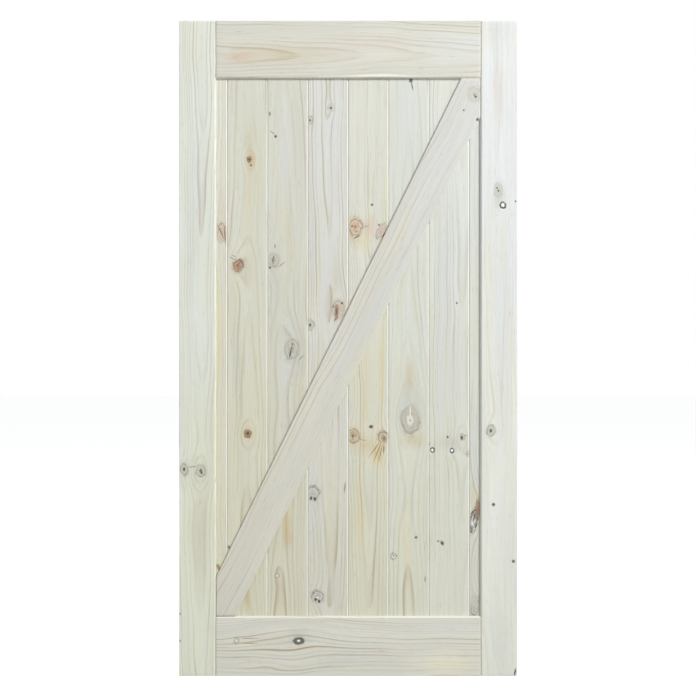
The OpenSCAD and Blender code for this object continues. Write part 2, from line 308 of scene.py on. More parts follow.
# early: display values of the pale wood between the rings. knots and stains: their fields in
# order, in lists that go from the lowest layer to the top one
Look = namedtuple("Look", "early growth knots stains")
LOOKS = {
    "stile_left": Look(
        (226, 230, 218), Growth(8, -48, 4, 18, 6.5, 0.55),
        [("grey", -518, 652, 26, 36), ("grey", -465, 647, 32, 40, 0, -0.5),
         ("tick", -463, 641, 7, 9), ("hair", -492, 660, 30, 4, -6), ("tick", -531, 196, 4, 8),
         ("tick", -531, 111, 4, 8)],
        [("grey", -490, 650, 90, 130, 0.3), ("cool", -478, 1500, 70, 800),
         ("gold", -500, 1980, 90, 200, 0.15), ("dusk", -466, 460, 70, 360, 0.4)]),
    "stile_right": Look(
        (227, 230, 227), Growth(-4, -60, -3, 30, 8.0, 0.2),
        [("dim", 472, 1532, 26, 46), ("pin", 469, 1540, 5, 6), ("pin", 474, 1531, 5, 7),
         ("hole", 488, 1486, 21, 24, -20), ("tick", 528, 1498, 6, 6), ("grey", 450, 774, 30, 34),
         ("tick", 458, 541, 11, 11), ("tick", 521, 362, 11, 10), ("tick", 526, 12, 6, 24, 10)],
        [("grey", 474, 1520, 40, 110, 0.6), ("rose", 474, 1850, 40, 240, 0.6),
         ("cool", 476, 130, 80, 420, 0.7), ("cool", 480, 1200, 80, 700, 0.4),
         ("grey", 480, 2040, 120, 160, 0.3)]),
    "rail_top": Look(
        (215, 214, 201), Growth(20, -40, 14, -34, 8.0, 0.6),
        [],
        [("salmon", -340, 1956, 50, 100, 0.6), ("rose", 60, 1985, 90, 460, 0.4),
         ("tan", -230, 1964, 80, 420), ("cool", 360, 1990, 130, 300, 0.6),
         # The last patch, along the rail's lower bevel, is a painted highlight.
         ("highlit", 0, 1889, 12, 3000, 1.0)]),
    "rail_bottom": Look(
        (221, 222, 217), Growth(104, -46, -2, 4, 7.4, 1.0),
        [("socket", -157, 111, 26, 33), ("outline", -353, 111, 22, 16), ("hair", -310, 118, 3, 60),
         ("hair", -310, 103, 3, 60), ("buried", -180, 92, 88, 104), ("buried", -240, 28, 16, 34),
         ("buried", -304, 38, 12, 26)],
        [("grey", -157, 111, 46, 90, 0.4), ("cool", 10, 60, 110, 260, 0.9),
         ("cool", 140, 40, 50, 220, 0.6), ("cream", 310, 42, 84, 240, 1.0),
         ("cream", -304, 101, 30, 90), ("rose", 120, 60, 50, 160, 0.3)]),
    "plank_1": Look(
        (219, 218, 202), Growth(70, -60, 4, 6, 5.5, 0.5),
        [("blush", -400, 1398, 32, 64, 0, 1), ("resin", -403, 1402, 4, 62, -25),
         ("resin", -390, 1392, 4, 66, -4), ("rust", -411, 342, 10, 22, -20)],
        [("gold", -412, 1000, 16, 900, 0.4), ("rose", -396, 1480, 26, 160),
         ("cool", -396, 1750, 24, 200, 0.3)]),
    "plank_2": Look(
        (217, 217, 201), Growth(-4, -40, 8, -20, 7.2, 0.7),
        [("dark", -313, 1631, 17, 20), ("tick", -308, 1613, 6, 9),
         ("red", -348, 1294, 32, 42, 20, 0.6), ("hair", -366, 1318, 26, 4, 30),
         ("hair", -362, 1326, 20, 3, 30), ("dark", -318, 765, 25, 27),
         ("pin", -378, 405, 7, 12, -20)],
        [("tan", -313, 1640, 22, 220, 0.8), ("gold", -318, 1500, 22, 260),
         ("tan", -322, 1285, 66, 150, 0.3), ("rust", -312, 1628, 20, 44),
         ("tan", -319, 252, 24, 140, 0.8), ("grey", -350, 1000, 40, 420, 0.4)]),
    "plank_3": Look(
        (214, 214, 200), Growth(-22, -36, 6, -24, 7.8, 0.7),
        [("tick", -248, 1776, 5, 14), ("tick", -230, 1704, 9, 10), ("hair", -240, 1716, 24, 4, 35),
         ("cracked", -237, 1313, 36, 46, 0, -0.6), ("hair", -211, 1299, 28, 4, -38),
         ("tick", -248, 1289, 10, 7), ("tick", -232, 1357, 3, 14), ("cracked", -180, 1030, 44, 66),
         ("tick", -184, 1016, 5, 32, 8), ("hair", -150, 1003, 28, 4, -45),
         ("outline", -225, 315, 15, 17)],
        [("tan", -195, 467, 36, 160, 0.9), ("tan", -188, 430, 40, 50, 0.7),
         ("grey", -177, 1030, 80, 190, 0.6), ("dusk", -176, 990, 26, 30, 0.4),
         ("tan", -195, 1400, 30, 240, 0.3), ("cool", -200, 1650, 60, 330),
         ("cool", -196, 980, 80, 420, 0.7)]),
    "plank_4": Look(
        (217, 218, 210), Growth(10, -52, -6, 22, 8.0, 0.7),
        [("dim", -55, 1794, 22, 26), ("tick", -55, 1794, 8, 9), ("grey", -121, 1755, 20, 26),
         ("grey", -121, 1108, 26, 36), ("blush", -32, 1154, 40, 64, 0, 0.8),
         ("brown", -37, 1150, 13, 48), ("tick", -42, 1124, 4, 14, 15), ("pin", -20, 1176, 7, 8),
         ("pin", -47, 1166, 5, 6), ("lidded", -112, 574, 40, 50, 0, 0.9),
         ("pin", -106, 558, 9, 13, -15), ("pin", -118, 560, 8, 12, 15),
         ("hair", -11, 594, 6, 34, 6), ("lidded", -98, 248, 40, 40, 0, 1),
         ("pin", -103, 240, 9, 12, 20), ("pin", -92, 234, 9, 11, -20), ("chip", -98, 246, 12, 5)],
        [("cool", -70, 1720, 90, 420, 0.6), ("gold", -60, 500, 30, 340, 0.3),
         ("tan", -40, 1250, 36, 220, 0.3), ("cool", -90, 480, 60, 160),
         ("cool", -68, 275, 70, 150, 0.8)]),
    "plank_5": Look(
        (218, 219, 205), Growth(2, -48, 4, 27, 7.4, 0.6),
        [("salmon", 22, 1418, 46, 54, 15), ("resin", 12, 1420, 8, 10),
         ("tick", 28, 1387, 26, 4, -30), ("tick", 75, 1488, 8, 9), ("hair", 58, 1420, 16, 4, -20),
         ("blush", 103, 1404, 24, 56, 25), ("tick", 112, 1392, 4, 24, 28), ("pin", 97, 1424, 6, 7),
         ("ochre", 15, 757, 42, 50), ("pin", 72, 786, 13, 11), ("hair", 46, 744, 26, 3, 10),
         ("ochre", 110, 752, 34, 42, 0, 1), ("brown", 112, 748, 16, 22),
         ("resin", 84, 716, 3, 62, 36), ("resin", 93, 708, 3, 66, 22),
         ("resin", 103, 706, 3, 56, 11), ("resin", 112, 716, 4, 36, 4)],
        [("salmon", 66, 1415, 60, 90, 0.7), ("gold", 50, 1370, 60, 70, 0.6),
         ("ochre", 98, 700, 44, 90, 0.8), ("tan", 58, 728, 120, 90, 0.6),
         ("tan", 22, 1412, 50, 110, 0.9), ("gold", 102, 950, 20, 360, 0.7),
         ("tan", 50, 900, 40, 400, 0.3), ("gold", 40, 500, 50, 300, 0.4)]),
    "plank_6": Look(
        (217, 220, 209), Growth(0, -36, -2, -24, 8.0, 0.65),
        [("tick", 198, 1880, 12, 16), ("tick", 202, 1862, 4, 26, -12),
         ("eye", 196, 808, 60, 92, 0, -0.8), ("pin", 196, 806, 4, 5), ("chip", 196, 834, 4, 38),
         ("tick", 214, 436, 9, 9), ("outline", 143, 376, 20, 22), ("tick", 143, 378, 4, 5),
         ("hair", 243, 304, 5, 22)],
        [("tan", 192, 950, 24, 120, 0.7), ("grey", 194, 860, 60, 260),
         ("tan", 200, 744, 70, 60, 0.6), ("cool", 190, 1780, 80, 300, 0.6),
         ("gold", 190, 420, 40, 300, 0.35)]),
    "plank_7": Look(
        (218, 221, 213), Growth(34, -56, 6, 12, 6.6, 0.55),
        [("hole", 266, 712, 16, 18, -20), ("hole", 328, 711, 16, 18, 20),
         ("tick", 257, 732, 4, 14), ("tick", 314, 753, 7, 8), ("grey", 361, 753, 17, 22),
         ("tick", 359, 751, 8, 14, -15), ("hair", 372, 758, 14, 3, 10), ("grey", 379, 700, 14, 20),
         ("tick", 284, 424, 6, 6), ("tick", 297, 418, 10, 16, -25), ("tick", 343, 1177, 6, 7)],
        [("grey", 320, 735, 110, 60), ("cool", 320, 1200, 90, 600, 0.4)]),
    "plank_8": Look(
        (215, 219, 213), Growth(-50, -60, 4, 8, 5.4, 0.6),
        [("rust", 409, 524, 14, 66), ("bark", 395, 488, 26, 76, 12),
         ("tick", 386, 470, 5, 26, -24), ("tick", 399, 500, 5, 30, 14),
         ("tick", 391, 514, 4, 18, 30), ("tick", 404, 472, 5, 22, 26),
         ("chip", 393, 480, 4, 22, -20), ("chip", 397, 462, 4, 12, 30),
         ("chip", 401, 488, 3, 14, 10), ("dim", 398, 214, 34, 70),
         ("lidded", 398, 210, 24, 46, 0, -1), ("dim", 410, 236, 18, 34, 20, 1)],
        [("tan", 398, 560, 22, 150, 0.4), ("dusk", 409, 236, 20, 44, 1.0)]),
    "brace": Look(
        (216, 216, 209), Growth(-84, -66, 4, 8, 5.6, 0.5),
        [("dim", 398, 1834, 44, 52, 0, 1), ("tick", 402, 1828, 8, 9), ("tick", 364, 1785, 6, 6),
         ("tick", 408, 1756, 9, 12)],
        [("cool", 330, 1680, 70, 500, 0.4), ("grey", 60, 1150, 60, 600, 0.3)]),
}

# outline: (across, deep, share of the arris radius that eases it) for each corner of the section.
# start, end: where the board's body begins and ends along its grain, in its own frame.
# arris is the radius of the eased edges, and bevel_low and bevel_high the bevels beside them.
Board = namedtuple("Board", "node slot place outline start end arris bevel_low bevel_high")


def span(board, axis):
    """The least and greatest corners of the section: across for axis 0, deep for axis 1."""
    values = [corner[axis] for corner in board.outline]
    return min(values), max(values)


def upright(x):
    """Board frame for wood that stands up: across = +X from x, along = +Z, deep = the front."""
    return Matrix(((1, 0, 0, x), (0, 0, -1, 0), (0, 1, 0, 0), (0, 0, 0, 1)))


def level(z):
    """Board frame for a rail: across = down from z, along = +X, deep = the front."""
    return Matrix(((0, 1, 0, 0), (0, 0, -1, 0), (-1, 0, 0, z), (0, 0, 0, 1)))


def grooved_outline(width, side):
    """Section of a stile or rail, with its groove in the edge at side (-1 or +1)."""
    half_w = width / 2
    half_t = FRAME_T / 2
    half_g = PLANK_T / 2 + SLIP
    bottom = half_w - GROOVE_DEPTH
    corners = [
        (-half_w, -half_t, 1), (half_w - INNER_EASE, -half_t, BEVEL_SHARE),
        (half_w, INNER_EASE - half_t, BEVEL_SHARE), (half_w, -half_g, 0),
        (bottom, -half_g, 0), (bottom, half_g, 0),
        (half_w, half_g, 0), (half_w, half_t - INNER_EASE, BEVEL_SHARE),
        (half_w - INNER_EASE, half_t, BEVEL_SHARE), (-half_w, half_t, 1),
    ]
    return [(side * across, deep, eased) for across, deep, eased in corners]


def frame_board(node, place, width, side, start, end):
    """A stile or rail. side is the edge, -1 or +1 across it, that faces the planks."""
    bevels = (INNER_EASE, 0) if side < 0 else (0, INNER_EASE)
    return Board(node, "frame_pine", place, grooved_outline(width, side), start, end,
                 bpy.context.scene.barn_door_boards.frame_arris, *bevels)


def stile(node, side):
    low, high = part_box(node)
    place = upright((low.x + high.x) / 2)
    return frame_board(node, place, high.x - low.x, -side, low.z, high.z)


def rail(node, side):
    low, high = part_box(node)
    place = level((low.z + high.z) / 2)
    return frame_board(node, place, high.z - low.z, side, -JOINT_X, JOINT_X)


def vee_edge(x, inward, reach, half_s):
    """A plank's edge at x, from back to front. inward is +1 where the wood lies towards +X.

    reach and half_s are the tongue's or slot's length in X and half its thickness.
    """
    settings = bpy.context.scene.barn_door_boards
    half_t = PLANK_T / 2
    face = x + inward * settings.vee
    foot = x + inward * settings.vee_gap
    rise = settings.vee - settings.vee_gap - half_t
    return [
        (face, -half_t, 1), (foot, rise, 0), (foot, -half_s, 0), (x + reach, -half_s, 0),
        (x + reach, half_s, 0), (foot, half_s, 0),
        (foot, half_t - settings.vee + settings.vee_gap, 0), (face, half_t, 1),
    ]


def plank(node):
    """A plank's edges come from its own box and from its neighbours'."""
    low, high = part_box(node)
    settings = bpy.context.scene.barn_door_boards
    half_t = PLANK_T / 2
    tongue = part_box("plank_2")[1].x + PLANK_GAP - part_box("plank_3")[0].x
    slot = tongue - PLANK_GAP + SLOT_END
    first = node == PLANK_NODES[0]
    last = node == PLANK_NODES[-1]
    face_low = -JOINT_X if first else low.x
    face_high = JOINT_X if last else high.x - tongue
    middle = (face_low + face_high) / 2
    if first:
        left = [(low.x - middle, half_t, 0), (low.x - middle, -half_t, 0)]
    else:
        left = vee_edge(low.x - middle, 1, slot, TONGUE_T / 2 + SLIP)[::-1]
    if last:
        right = [(high.x - middle, -half_t, 0), (high.x - middle, half_t, 0)]
    else:
        right = vee_edge(face_high - middle, -1, tongue, TONGUE_T / 2)
    return Board(node, "plank_pine", upright(middle), left + right, low.z, high.z,
                 settings.plank_arris, settings.vee, settings.vee)


def brace_board():
    """The brace lies on the opening's diagonal. Its width is measured square to that."""
    angle = math.atan2(OPEN_W, OPEN_H)
    along = Vector((math.sin(angle), 0, math.cos(angle)))
    across = Vector((math.cos(angle), 0, -math.sin(angle)))
    place = Matrix((
        (across.x, along.x, 0, 0), (0, 0, -1, 0), (across.z, along.z, 0, OPEN_MID), (0, 0, 0, 1)))
    middle = Vector((0, 0, OPEN_MID))
    half_w = max(abs((v.co - middle).dot(across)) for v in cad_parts["brace"].data.vertices)
    reach = math.hypot(OPEN_W, OPEN_H) / 2 + half_w
    back = -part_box("brace")[1].y
    front = -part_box("brace")[0].y
    outline = [(-half_w, back, 0), (half_w, back, 0), (half_w, front, 0), (-half_w, front, 0)]
    return Board("brace", "brace_pine", place, outline, -reach, reach,
                 bpy.context.scene.barn_door_boards.brace_arris, 0, 0)


def smoothstep(low, high, value):
    t = np.clip((value - low) / (high - low), 0, 1)
    return t * t * (3 - 2 * t)


def local_knots(board):
    """A board's knots as (Kind, across, along, half across, half along, turn, heavy), in metres."""
    into = board.place.inverted()
    knots = []
    for values in LOOKS[board.node].knots:
        knot = Knot(*values)
        at = into @ Vector((knot.x * MM, 0, knot.z * MM))
        knots.append((KINDS[knot.kind], at.x, at.y, knot.across * MM / 2, knot.along * MM / 2,
                      math.radians(knot.turn), knot.heavy))
    return knots


def verts_in(geometry):
    return [part for part in geometry if isinstance(part, bmesh.types.BMVert)]


def edges_in(geometry):
    return [part for part in geometry if isinstance(part, bmesh.types.BMEdge)]


def prism(board):
    """The board's section, drawn out along its grain."""
    bm = bmesh.new()
    corners = [bm.verts.new((across, board.start, deep)) for across, deep, _ in board.outline]
    section = bm.faces.new(corners)
    drawn = bmesh.ops.extrude_face_region(bm, geom=[section], use_keep_orig=True)
    far = verts_in(drawn["geom"])
    bmesh.ops.translate(bm, verts=far, vec=(0, board.end - board.start, 0))
    bmesh.ops.recalc_face_normals(bm, faces=bm.faces[:])
    return bm


def ease(bm, edges, radius):
    bmesh.ops.bevel(bm, geom=edges, offset=radius, offset_type="OFFSET", segments=EASE_SEGMENTS,
                    profile=0.5, affect="EDGES", clamp_overlap=True, material=-1)


def eased_edges(bm, board, part):
    """The long edges eased by this part of the arris; with the full arris, the face ends too."""
    marked = {(round(a, 6), round(d, 6)) for a, d, eased in board.outline if eased == part}
    half_t = span(board, 1)[1]
    found = []
    for edge in bm.edges:
        a, b = (v.co for v in edge.verts)
        lengthwise = abs(a.y - b.y) > MM
        at_face = min(abs(a.z), abs(b.z)) > half_t - INNER_EASE - SLIP and abs(a.z - b.z) < half_t
        face_end = part == 1 and board.slot == "frame_pine" and not lengthwise and at_face
        if face_end or lengthwise and (round(a.x, 6), round(a.z, 6)) in marked:
            found.append(edge)
    return found


def cut(bm, geom, point, normal, **options):
    return bmesh.ops.bisect_plane(bm, geom=geom, plane_co=point, plane_no=normal, **options)


def everything(bm):
    return bm.verts[:] + bm.edges[:] + bm.faces[:]


def add_tenons(bm, board):
    """Stub tenons that fill the stiles' grooves, drawn out of the rail's end faces."""
    half_t = PLANK_T / 2
    for end in (board.start, board.end):
        for deep in (-half_t, half_t):
            caps = [f for f in bm.faces if abs(f.calc_center_median().y - end) < SLIP
                    and abs(f.normal.y) > FACING]
            rims = list({e for f in caps for e in f.edges} | {v for f in caps for v in f.verts})
            cut(bm, caps + rims, (0, 0, deep), (0, 0, 1))
        middle = [f for f in bm.faces if abs(f.calc_center_median().y - end) < SLIP
                  and abs(f.calc_center_median().z) < half_t / 2]
        tip = verts_in(bmesh.ops.extrude_face_region(bm, geom=middle)["geom"])
        bmesh.ops.translate(bm, verts=tip, vec=(0, math.copysign(1, end) * TENON_L, 0))


def cut_brace_ends(bm, board):
    """Trims the bar to the opening, less its seam, and eases every arris of its face."""
    low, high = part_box("brace")
    drawn_in = Vector((BRACE_SHRINK, 0, BRACE_SHRINK))
    low = low + drawn_in
    high = high - drawn_in
    into = board.place.inverted()
    turn = into.to_3x3()
    for corner, normal in (
            (low, (-1, 0, 0)), (low, (0, 0, -1)), (high, (1, 0, 0)), (high, (0, 0, 1))):
        made = cut(bm, everything(bm), into @ corner, turn @ Vector(normal), clear_outer=True)
        bmesh.ops.edgeloop_fill(bm, edges=edges_in(made["geom_cut"]))
    front = span(board, 1)[1]
    ease(bm, [e for e in bm.edges if all(abs(v.co.z - front) < SLIP for v in e.verts)], board.arris)


def add_columns(bm, board, spacing):
    """Cuts the faces into strips that run along the grain, with one close beside each arris."""
    half_t = span(board, 1)[1]
    face = [a for a, d, _ in board.outline if d == half_t]
    margin = board.arris * STRIP_INSET
    low = min(face) + margin
    high = max(face) - margin
    if board.node == PLANK_NODES[0]:
        low = -high
    if board.node == PLANK_NODES[-1]:
        high = -low
    count = max(2, round((high - low) / spacing))
    for across in np.linspace(low, high, count + 1):
        cut(bm, everything(bm), (across, 0, 0), (1, 0, 0))


def add_slices(bm, board, spacing):
    """Cuts the strips across, evenly along the board."""
    reach = board.end - board.start
    long_edges = [e for e in bm.edges if abs(e.verts[0].co.y - e.verts[1].co.y) > reach / 3]
    bmesh.ops.subdivide_edges(bm, edges=long_edges, cuts=round(reach / spacing) - 1)


def refine_knots(bm, board, cuts):
    """A finer mesh on both faces round each knot."""
    face = span(board, 1)[1] - (bpy.context.scene.barn_door_boards.vee * 2 + board.arris) / 8
    part_a, room_a, part_l, room_l = KNOT_REACH
    chosen = set()
    for _, across, along, half_a, half_l, _, _ in local_knots(board):
        reach_a = half_a * part_a + room_a
        reach_l = half_l * part_l + room_l
        for edge in bm.edges:
            if all(abs(v.co.x - across) < reach_a and abs(v.co.y - along) < reach_l
                   and abs(v.co.z) > face for v in edge.verts):
                chosen.add(edge)
    if chosen and cuts:
        bmesh.ops.subdivide_edges(bm, edges=list(chosen), cuts=cuts, use_grid_fill=True)


def near_axis(bm, across, along, deep, reach):
    """The faces of one side of a board that a hole there would touch."""
    found = []
    for face in bm.faces:
        off_side = abs(face.calc_center_median().z - deep) > SAME_SIDE
        if abs(face.normal.z) < FACING or off_side:
            continue
        gaps = []
        for axis, centre in ((0, across), (1, along)):
            values = [v.co[axis] for v in face.verts]
            gaps.append(max(min(values) - centre, centre - max(values), 0))
        if math.hypot(*gaps) < reach:
            found.append(face)
    return found


def open_face(bm, across, along, deep, radius, ring=None):
    """Takes out the faces round an axis and bridges their rim to a ring of that radius."""
    faces = near_axis(bm, across, along, deep, radius + HOLE_ROOM)
    inside = set(faces)
    rim = [e for f in faces for e in f.edges if sum(g in inside for g in e.link_faces) == 1]
    bmesh.ops.delete(bm, geom=faces, context="FACES")
    if ring is None:
        made = bmesh.ops.create_circle(
            bm, cap_ends=False, radius=radius, segments=HOLE_SIDES,
            matrix=Matrix.Translation((across, along, deep)))
        ring = list({e for v in made["verts"] for e in v.link_edges})
    bmesh.ops.bridge_loops(bm, edges=list(set(rim)) + ring)
    return ring


def draw_ring(bm, ring, centre, scale, depth):
    """Draws a ring of edges inwards by depth and closes it in by scale."""
    drawn = bmesh.ops.extrude_edge_only(bm, edges=ring)["geom"]
    verts = verts_in(drawn)
    bmesh.ops.scale(bm, verts=verts, vec=(scale, scale, 1), space=Matrix.Translation(-centre))
    bmesh.ops.translate(bm, verts=verts, vec=(0, 0, depth))
    return [e for e in edges_in(drawn) if all(v in verts for v in e.verts)]


def screw_axes():
    """(x, z) of each screw, from the middles of the separate solids in the screws' node."""
    bm = bmesh.new()
    bm.from_mesh(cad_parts["brace_screws"].data)
    bmesh.ops.remove_doubles(bm, verts=bm.verts[:], dist=0.001 * MM)
    left = set(bm.verts)
    axes = []
    while left:
        island = [left.pop()]
        for vert in island:
            for edge in vert.link_edges:
                other = edge.other_vert(vert)
                if other in left:
                    left.remove(other)
                    island.append(other)
        xs = [v.co.x for v in island]
        zs = [v.co.z for v in island]
        axes.append(((min(xs) + max(xs)) / 2, (min(zs) + max(zs)) / 2))
    bm.free()
    return sorted(axes)


def drill(bm, board, axes):
    """Countersunk through-holes in a plank, or blind bores in the back of the brace."""
    into = board.place.inverted()
    low, high = span(board, 0)
    backs, fronts = span(board, 1)
    for x, z in axes:
        at = into @ Vector((x, 0, z))
        if not low < at.x < high:
            continue
        centre = Vector((at.x, at.y, 0))
        if board.node == "brace":
            ring = open_face(bm, at.x, at.y, backs, SCREW_R)
            ring = draw_ring(bm, ring, centre, 1, BRACE_BORE)
            bmesh.ops.edgeloop_fill(bm, edges=ring)
            continue
        ring = open_face(bm, at.x, at.y, backs, SINK_R)
        ring = draw_ring(bm, ring, centre, 1, SINK_RIM)
        ring = draw_ring(bm, ring, centre, SCREW_R / SINK_R, SINK_R - SCREW_R)
        ring = draw_ring(bm, ring, centre, 1, fronts - backs - SINK_RIM - SINK_R + SCREW_R)
        open_face(bm, at.x, at.y, fronts, SCREW_R, ring)


def own_number(node):
    """A number that differs from board to board, from the letters of its name."""
    return sum(ord(letter) for letter in node)


def wobble(board, along, amount, seed):
    """A slow drift of the grain from side to side, different on each board."""
    phase = own_number(board.node) * 1.7 + seed
    drift = 0
    for wave, part, turn in DRIFT_WAVES:
        drift = drift + part * np.sin(along * 2 * math.pi / wave + turn * phase)
    return amount * drift


def grain_of(board, points):
    """Where each point would lie in straight-grown wood: the layers swell and part round knots."""
    flow = points.copy()
    along = points[:, 1]
    flow[:, 0] += wobble(board, along, DRIFT_ACROSS, 0)
    flow[:, 2] += wobble(board, along, DRIFT_DEEP, 5)
    ring = LOOKS[board.node].growth.ring * MM
    part_a, room_a, part_l, room_l = PART_REACH
    for kind, at_a, at_l, half_a, half_l, _, _ in local_knots(board):
        across = points[:, 0] - at_a
        near = np.exp(-(across / (half_a * part_a + room_a)) ** 2
                      - ((along - at_l) / (half_l * part_l + room_l)) ** 2)
        near = near * kind.swell
        flow[:, 0] -= across * near * PART_ACROSS
        flow[:, 2] -= near * min(1.6 * ring, half_a * 1.1)
    return flow


def relief(board, points):
    """How far knots, bark pockets and holes lie below the planed face."""
    sink = np.zeros(len(points))
    for kind, at_a, at_l, half_a, half_l, turn, _ in local_knots(board):
        across = points[:, 0] - at_a
        along = points[:, 1] - at_l
        over = across * math.cos(turn) - along * math.sin(turn)
        up = across * math.sin(turn) + along * math.cos(turn)
        d = np.hypot(over / half_a, up / half_l)
        d = d + 0.08 * np.sin(3 * np.arctan2(up, over) + 40 * at_l)
        rim = np.exp(-((d - 0.96) / 0.14) ** 2) * kind.rim_sink * MM
        pit = smoothstep(0.95, 0.35, d) * kind.pit * MM
        sink = np.maximum(sink, rim + pit)
    return sink


def wear(board, points):
    """Small dings along the arrises, from 0 to 1."""
    along = points[:, 1] + points[:, 0] * 0.7
    phase = own_number(board.node)
    bumps = np.sin(along * 61 + phase) * np.sin(along * 23 + 2 * phase) * np.sin(along * 9.7)
    return smoothstep(0.25, 0.9, np.abs(bumps))


def finish_mesh(bm, board, name):
    """Moves the mesh to its place, gives it its relief, its grain and arris attributes."""
    points = np.array([v.co for v in bm.verts], float)
    half_t = span(board, 1)[1]
    fronts = half_t - points[:, 2] < FLUSH
    backs = (points[:, 2] + half_t < FLUSH) & (board.node != "brace")
    bevel = np.where(points[:, 0] < 0, board.bevel_low, board.bevel_high)
    if board.slot == "plank_pine":
        reach = bevel * 1.04
    else:
        reach = np.where(bevel > 0, bevel + board.arris * BEVEL_SHARE, board.arris) * 0.98
    ends = np.abs(points[:, 1] - np.clip(points[:, 1], board.start + SLIP, board.end - SLIP)) > 0
    arris = (np.abs(points[:, 2]) > half_t - reach) & ~fronts & ~backs & ~ends
    grain = grain_of(board, points)
    drop = relief(board, points)
    drop[~(fronts | backs)] = 0
    dings = bpy.context.scene.barn_door_boards.dings * wear(board, points) * arris
    if board.slot == "plank_pine":
        dings *= PLANK_WEAR
    points[:, 2] -= np.sign(points[:, 2]) * (drop + dings)
    for vert, point in zip(bm.verts, points):
        vert.co = point
    bmesh.ops.transform(bm, matrix=board.place, verts=bm.verts[:])
    bmesh.ops.recalc_face_normals(bm, faces=bm.faces[:])
    mesh = bpy.data.meshes.new(name)
    bm.to_mesh(mesh)
    bm.free()
    flow = mesh.attributes.new("grain", "FLOAT_VECTOR", "POINT")
    flow.data.foreach_set("vector", grain.astype(np.float32).ravel())
    edge = mesh.attributes.new("arris", "FLOAT", "POINT")
    edge.data.foreach_set("value", arris.astype(np.float32))
    mesh.shade_smooth()
    mesh.set_sharp_from_angle(angle=SHARP_ANGLE)
    return mesh


def add_object(name, data):
    made = bpy.data.objects.new(name, data)
    bpy.context.scene.collection.objects.link(made)
    return made


def make_board(board):
    """Models one board, gives it its finish and puts it in the CAD node's stead."""
    settings = bpy.context.scene.barn_door_boards
    bm = prism(board)
    if board.node == "brace":
        cut_brace_ends(bm, board)
    else:
        ease(bm, eased_edges(bm, board, 1), board.arris)
        if board.slot == "frame_pine":
            ease(bm, eased_edges(bm, board, BEVEL_SHARE), board.arris * BEVEL_SHARE)
    if board.node.startswith("rail"):
        add_tenons(bm, board)
    add_columns(bm, board, settings.column)
    add_slices(bm, board, settings.slice)
    refine_knots(bm, board, settings.knot_cuts)
    if board.slot in ("plank_pine", "brace_pine"):
        drill(bm, board, screw_axes())
    name = board.node + "_board"
    mesh = finish_mesh(bm, board, name)
    mesh.materials.append(pine(board))
    piece = add_object(name, mesh)
    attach(piece, "root")
    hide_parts(board.node)


# ---------------------------------------------------------------- shader building

ORIGIN = (0, 0, 0)
WHITE = (1, 1, 1, 1)


class Graph:
    """Adds nodes to a shader tree. A value may be a number, a tuple or another node's socket."""

    def __init__(self, tree):
        self.tree = tree

    def put(self, socket, value):
        if isinstance(value, bpy.types.NodeSocket):
            self.tree.links.new(value, socket)
        else:
            socket.default_value = value

    def node(self, kind, inputs=None, **settings):
        made = self.tree.nodes.new(kind)
        for key, value in settings.items():
            setattr(made, key, value)
        for key, value in (inputs or {}).items():
            self.put(made.inputs[key], value)
        return made

    def math(self, operation, *values):
        inputs = dict(enumerate(values))
        return self.node("ShaderNodeMath", inputs, operation=operation).outputs[0]

    def times(self, a, b):
        return self.math("MULTIPLY", a, b)

    def minus(self, a, b):
        return self.math("SUBTRACT", a, b)

    def times_plus(self, a, b, c):
        return self.math("MULTIPLY_ADD", a, b, c)

    def vector(self, operation, *values):
        made = self.node("ShaderNodeVectorMath", dict(enumerate(values)), operation=operation)
        return made.outputs["Value" if operation in ("LENGTH", "DOT_PRODUCT") else "Vector"]

    def stretch(self, vector, *factors):
        return self.vector("MULTIPLY", vector, factors)

    def split(self, vector):
        return self.node("ShaderNodeSeparateXYZ", {0: vector}).outputs

    def join(self, *values):
        return self.node("ShaderNodeCombineXYZ", dict(enumerate(values))).outputs[0]

    def step(self, low, high, value, to_low=0.0, to_high=1.0):
        """A smooth step of value between low and high."""
        inputs = {"Value": value, "From Min": low, "From Max": high,
                  "To Min": to_low, "To Max": to_high}
        return self.node("ShaderNodeMapRange", inputs, interpolation_type="SMOOTHSTEP").outputs[0]

    def mix(self, factor, a, b, blend_type="MIX"):
        inputs = {0: factor, 6: a, 7: b}
        made = self.node("ShaderNodeMix", inputs, data_type="RGBA", blend_type=blend_type)
        return made.outputs[2]

    def multiply(self, factor, a, b):
        return self.mix(factor, a, b, "MULTIPLY")

    def noise(self, vector, scale, detail=2.0, roughness=0.5):
        inputs = {"Vector": vector, "Scale": scale, "Detail": detail, "Roughness": roughness}
        return self.node("ShaderNodeTexNoise", inputs).outputs["Fac"]

    def bump(self, shader, strength, distance, height):
        inputs = {"Strength": strength, "Distance": distance, "Height": height}
        self.put(shader.inputs["Normal"], self.node("ShaderNodeBump", inputs).outputs[0])

    def use(self, group, inputs):
        return self.node("ShaderNodeGroup", inputs, node_tree=group()).outputs

    def object_place(self):
        return self.node("ShaderNodeTexCoord").outputs["Object"]


def node_group(name, inputs, outputs):
    """Makes a function that fills a graph into one that gives the shared node group it fills.

    inputs are {socket: default} and outputs {socket: kind}. The function returns the outputs.
    """
    def wrap(fill):
        def shared():
            if name in bpy.data.node_groups:
                return bpy.data.node_groups[name]
            tree = bpy.data.node_groups.new(name, "ShaderNodeTree")
            for key, default in inputs.items():
                size = len(default) if isinstance(default, tuple) else 1
                kind = "NodeSocket" + {1: "Float", 3: "Vector", 4: "Color"}[size]
                socket = tree.interface.new_socket(key, in_out="INPUT", socket_type=kind)
                socket.default_value = default
            for key, kind in outputs.items():
                tree.interface.new_socket(key, in_out="OUTPUT", socket_type="NodeSocket" + kind)
            g = Graph(tree)
            values = fill(g, g.node("NodeGroupInput").outputs)
            g.node("NodeGroupOutput", dict(enumerate(values)))
            return tree
        return shared
    return wrap


